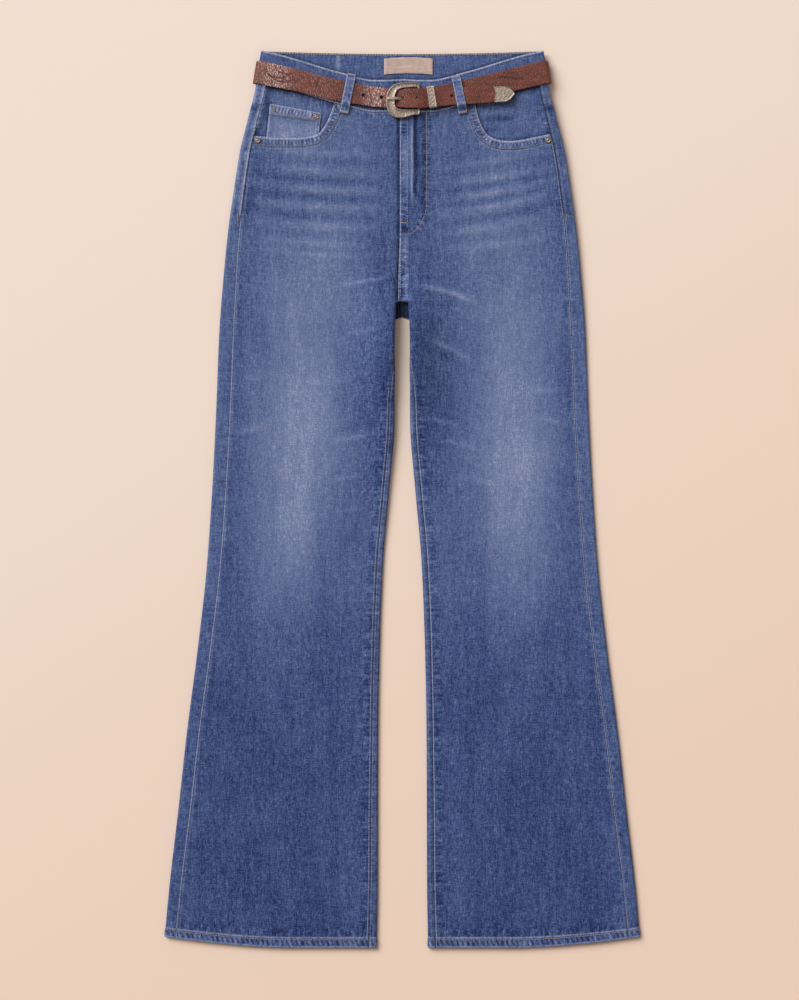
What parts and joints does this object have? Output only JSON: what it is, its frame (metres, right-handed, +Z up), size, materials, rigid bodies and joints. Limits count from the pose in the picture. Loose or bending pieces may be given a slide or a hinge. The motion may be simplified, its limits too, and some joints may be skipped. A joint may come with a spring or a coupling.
{
  "type": "wide leg jeans",
  "caption": "High-waisted five-pocket denim jeans with straight-to-flared legs and a thin leather belt, laid flat with the front up.",
  "frame": {"origin": "on the surface that the jeans lie on, under the middle of their bounding box", "axes": "+Y from the hems to the waist, +Z up and out of the front, +X towards the wearer's left side"},
  "size_m": [0.5896, 1.112, 0.0221],
  "materials": {
    "denim": "washed blue twill denim, faded on the thighs and whiskered at the hips",
    "zip_tape": "woven cotton tape with a closed row of metal teeth",
    "label_cotton": "plain woven label, bare of any text",
    "belt_leather": "brown leather with a pebble grain, half glossy",
    "antique_metal": "cast pale antique metal, worn bright on its high places",
    "rivet_metal": "pressed copper-coloured metal, dulled"
  },
  "bodies": {
    "root": {"front_right": "denim", "front_left": "denim", "back_right": "denim", "back_left": "denim", "yoke_right": "denim", "yoke_left": "denim", "waistband": "denim", "pocket_facing_right": "denim", "pocket_facing_left": "denim", "coin_pocket": "denim", "back_pocket_right": "denim", "back_pocket_left": "denim", "belt_loop_front_right": "denim", "belt_loop_front_left": "denim", "belt_loop_back_right": "denim", "belt_loop_back_centre": "denim", "belt_loop_back_left": "denim", "fly_zip": "zip_tape", "waist_label": "label_cotton", "belt_strap": "belt_leather", "zip_slider": "antique_metal", "buckle_frame": "antique_metal", "buckle_prong": "antique_metal", "belt_keeper": "antique_metal", "belt_tip": "antique_metal", "waist_button": "rivet_metal", "rivet_side_right": "rivet_metal", "rivet_side_left": "rivet_metal", "rivet_coin": "rivet_metal"}
  },
  "joints": []
}
